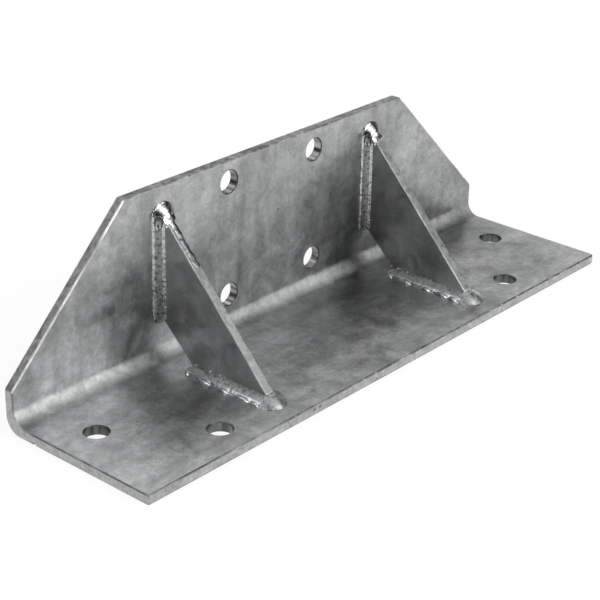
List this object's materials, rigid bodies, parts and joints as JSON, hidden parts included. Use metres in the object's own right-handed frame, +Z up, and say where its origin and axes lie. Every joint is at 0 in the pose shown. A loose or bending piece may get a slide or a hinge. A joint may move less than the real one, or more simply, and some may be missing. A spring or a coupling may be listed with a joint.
{
  "type": "gusseted angle bracket",
  "caption": "Folded steel angle plate with a tapered upright flange, welded triangular gussets and bolt holes in both legs.",
  "frame": {"origin": "middle of the base's underside, halfway along the fold and halfway between the front edge and the flange's back face", "axes": "+X along the fold, +Y out of the flange's back face, +Z up the flange"},
  "size_m": [0.4, 0.107, 0.109],
  "materials": {
    "galvanised_plate": "hot-dip galvanised, satin and mottled",
    "galvanised_gusset": "hot-dip galvanised, satin and mottled",
    "galvanised_weld": "hot-dip galvanised over rippled weld, brighter"
  },
  "bodies": {
    "root": {"folded_plate": "galvanised_plate", "left_gusset": "galvanised_gusset", "right_gusset": "galvanised_gusset", "left_wall_weld": "galvanised_weld", "left_base_weld": "galvanised_weld", "right_wall_weld": "galvanised_weld", "right_base_weld": "galvanised_weld"}
  },
  "joints": []
}
